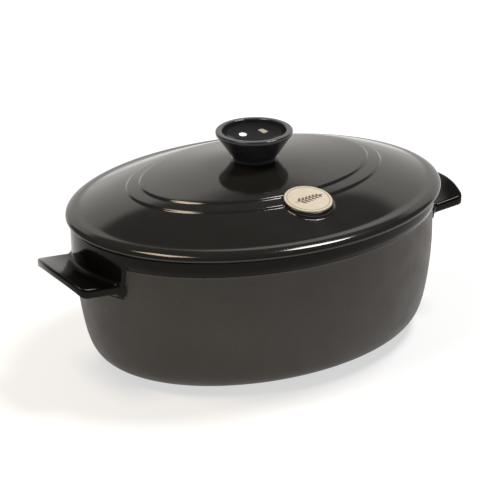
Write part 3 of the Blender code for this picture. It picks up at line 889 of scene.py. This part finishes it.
# ---- studio -------------------------------------------------------------------------------------
def build_floor():
    shape = bmesh.new()
    outline = oval_ring(FLOOR_RADIUS, FLOOR_RADIUS, 0.0, -FLOOR_DROP, even_angles(64))
    shape.faces.new([shape.verts.new(point) for point in outline])
    mesh = mesh_from("studio_floor", shape)
    material = bpy.data.materials.new("pale_floor")
    material.use_nodes = True
    shader = material.node_tree.nodes["Principled BSDF"]
    shader.inputs["Base Color"].default_value = (FLOOR_ALBEDO, FLOOR_ALBEDO, FLOOR_ALBEDO, 1.0)
    shader.inputs["Roughness"].default_value = 0.9
    shader.inputs["Specular IOR Level"].default_value = 0.1
    shader.inputs["Emission Color"].default_value = (1.0, 1.0, 1.0, 1.0)
    shader.inputs["Emission Strength"].default_value = FLOOR_GLOW
    mesh.materials.append(material)
    floor = bpy.data.objects.new("studio_floor", mesh)
    bpy.context.scene.collection.objects.link(floor)


def direction(azimuth, elevation):
    """Unit vector; azimuth 0 is the front and turns towards +X, both in degrees."""
    a = math.radians(azimuth)
    e = math.radians(elevation)
    return Vector((math.sin(a) * math.cos(e), -math.cos(a) * math.cos(e), math.sin(e)))


def add_softbox(name, shape, azimuth, elevation, width, height, radiance, colour):
    """Area light that faces the dish, with its size in metres and its radiance."""
    light = bpy.data.lights.new(name, "AREA")
    light.shape = shape
    light.size = width
    light.size_y = height
    light.color = colour
    area = width * height * (1.0 if shape == "RECTANGLE" else math.pi / 4)
    light.energy = radiance * math.pi * area
    lamp = bpy.data.objects.new(name, light)
    back = direction(azimuth, elevation)
    lamp.location = back * SOFTBOX_DISTANCE + Vector((0, 0, RIM_Z))
    lamp.rotation_mode = "QUATERNION"
    lamp.rotation_quaternion = back.to_track_quat("Z", "Y")
    bpy.context.scene.collection.objects.link(lamp)


def build_world():
    """Dim room with a white backdrop behind the dish and to its right, with soft edges."""
    world = bpy.data.worlds.new("studio_world")
    world.use_nodes = True
    nodes = world.node_tree.nodes
    links = world.node_tree.links
    sky = nodes.new("ShaderNodeTexCoord").outputs["Generated"]
    split = nodes.new("ShaderNodeSeparateXYZ")
    links.new(sky, split.inputs[0])
    level = nodes.new("ShaderNodeVectorMath")
    level.operation = "MULTIPLY"
    level.inputs[1].default_value = (1.0, 1.0, 0.0)
    links.new(sky, level.inputs[0])
    unit = nodes.new("ShaderNodeVectorMath")
    unit.operation = "NORMALIZE"
    links.new(level.outputs[0], unit.inputs[0])
    facing = nodes.new("ShaderNodeVectorMath")
    facing.operation = "DOT_PRODUCT"
    facing.inputs[1].default_value = direction(BACKDROP_AZIMUTH, 0)
    links.new(unit.outputs[0], facing.inputs[0])
    shares = []
    limits = (
        (facing.outputs["Value"], math.cos(BACKDROP_SIDES[1]), math.cos(BACKDROP_SIDES[0])),
        (split.outputs["Z"], math.sin(BACKDROP_TOPS[1]), math.sin(BACKDROP_TOPS[0])),
    )
    for value, outside, inside in limits:
        edge = nodes.new("ShaderNodeMapRange")
        edge.interpolation_type = "SMOOTHSTEP"
        edge.inputs["From Min"].default_value = outside
        edge.inputs["From Max"].default_value = inside
        links.new(value, edge.inputs["Value"])
        shares.append(edge.outputs["Result"])
    both = nodes.new("ShaderNodeMath")
    both.operation = "MULTIPLY"
    links.new(shares[0], both.inputs[0])
    links.new(shares[1], both.inputs[1])
    tone = nodes.new("ShaderNodeMix")
    tone.data_type = "RGBA"
    tone.inputs[6].default_value = (*ROOM_COLOUR, 1.0)
    tone.inputs[7].default_value = (*BACKDROP_COLOUR, 1.0)
    links.new(both.outputs[0], tone.inputs["Factor"])
    links.new(tone.outputs[2], nodes["Background"].inputs["Color"])
    bpy.context.scene.world = world


def build_lights():
    add_softbox("left_softbox", "RECTANGLE", -97, 66, 1.33, 0.80, 13.0, (1.0, 0.86, 0.68))
    add_softbox("right_softbox", "ELLIPSE", 83, 65, 0.98, 0.90, 28.0, (1.0, 0.99, 0.98))


def build_camera():
    """Camera at a three-quarter front view from above, about two metres from the dish."""
    camera = bpy.data.cameras.new("main_camera")
    camera.sensor_width = 36.0
    camera.lens = LENS
    up_axis = Vector((0, 0, 1))
    back = direction(math.degrees(CAMERA_AZIMUTH), math.degrees(CAMERA_ELEVATION))
    forward = -back
    right = forward.cross(up_axis).normalized()
    up = right.cross(forward)
    aim = (forward + right * CAMERA_TURN_RIGHT + up * CAMERA_TURN_UP).normalized()
    side = aim.cross(up_axis).normalized()
    top = side.cross(aim)
    side_rolled = side * math.cos(CAMERA_ROLL) + top * math.sin(CAMERA_ROLL)
    top_rolled = top * math.cos(CAMERA_ROLL) - side * math.sin(CAMERA_ROLL)
    eye = bpy.data.objects.new("main_camera", camera)
    bpy.context.scene.collection.objects.link(eye)
    eye.rotation_mode = "QUATERNION"
    eye.rotation_quaternion = Matrix((side_rolled, top_rolled, -aim)).transposed().to_quaternion()
    eye.location = CAMERA_TARGET + back * CAMERA_DISTANCE
    bpy.context.scene.camera = eye
    bpy.context.scene.view_settings.view_transform = "Standard"


build_pot_shell()
build_handle("left_handle_wing", -1, "left_handle")
build_handle("right_handle_wing", 1, "right_handle")
build_lid_shell()
build_knob_cup()
build_badge_plaque()
build_badge_sprig()
build_floor()
build_world()
build_lights()
build_camera()
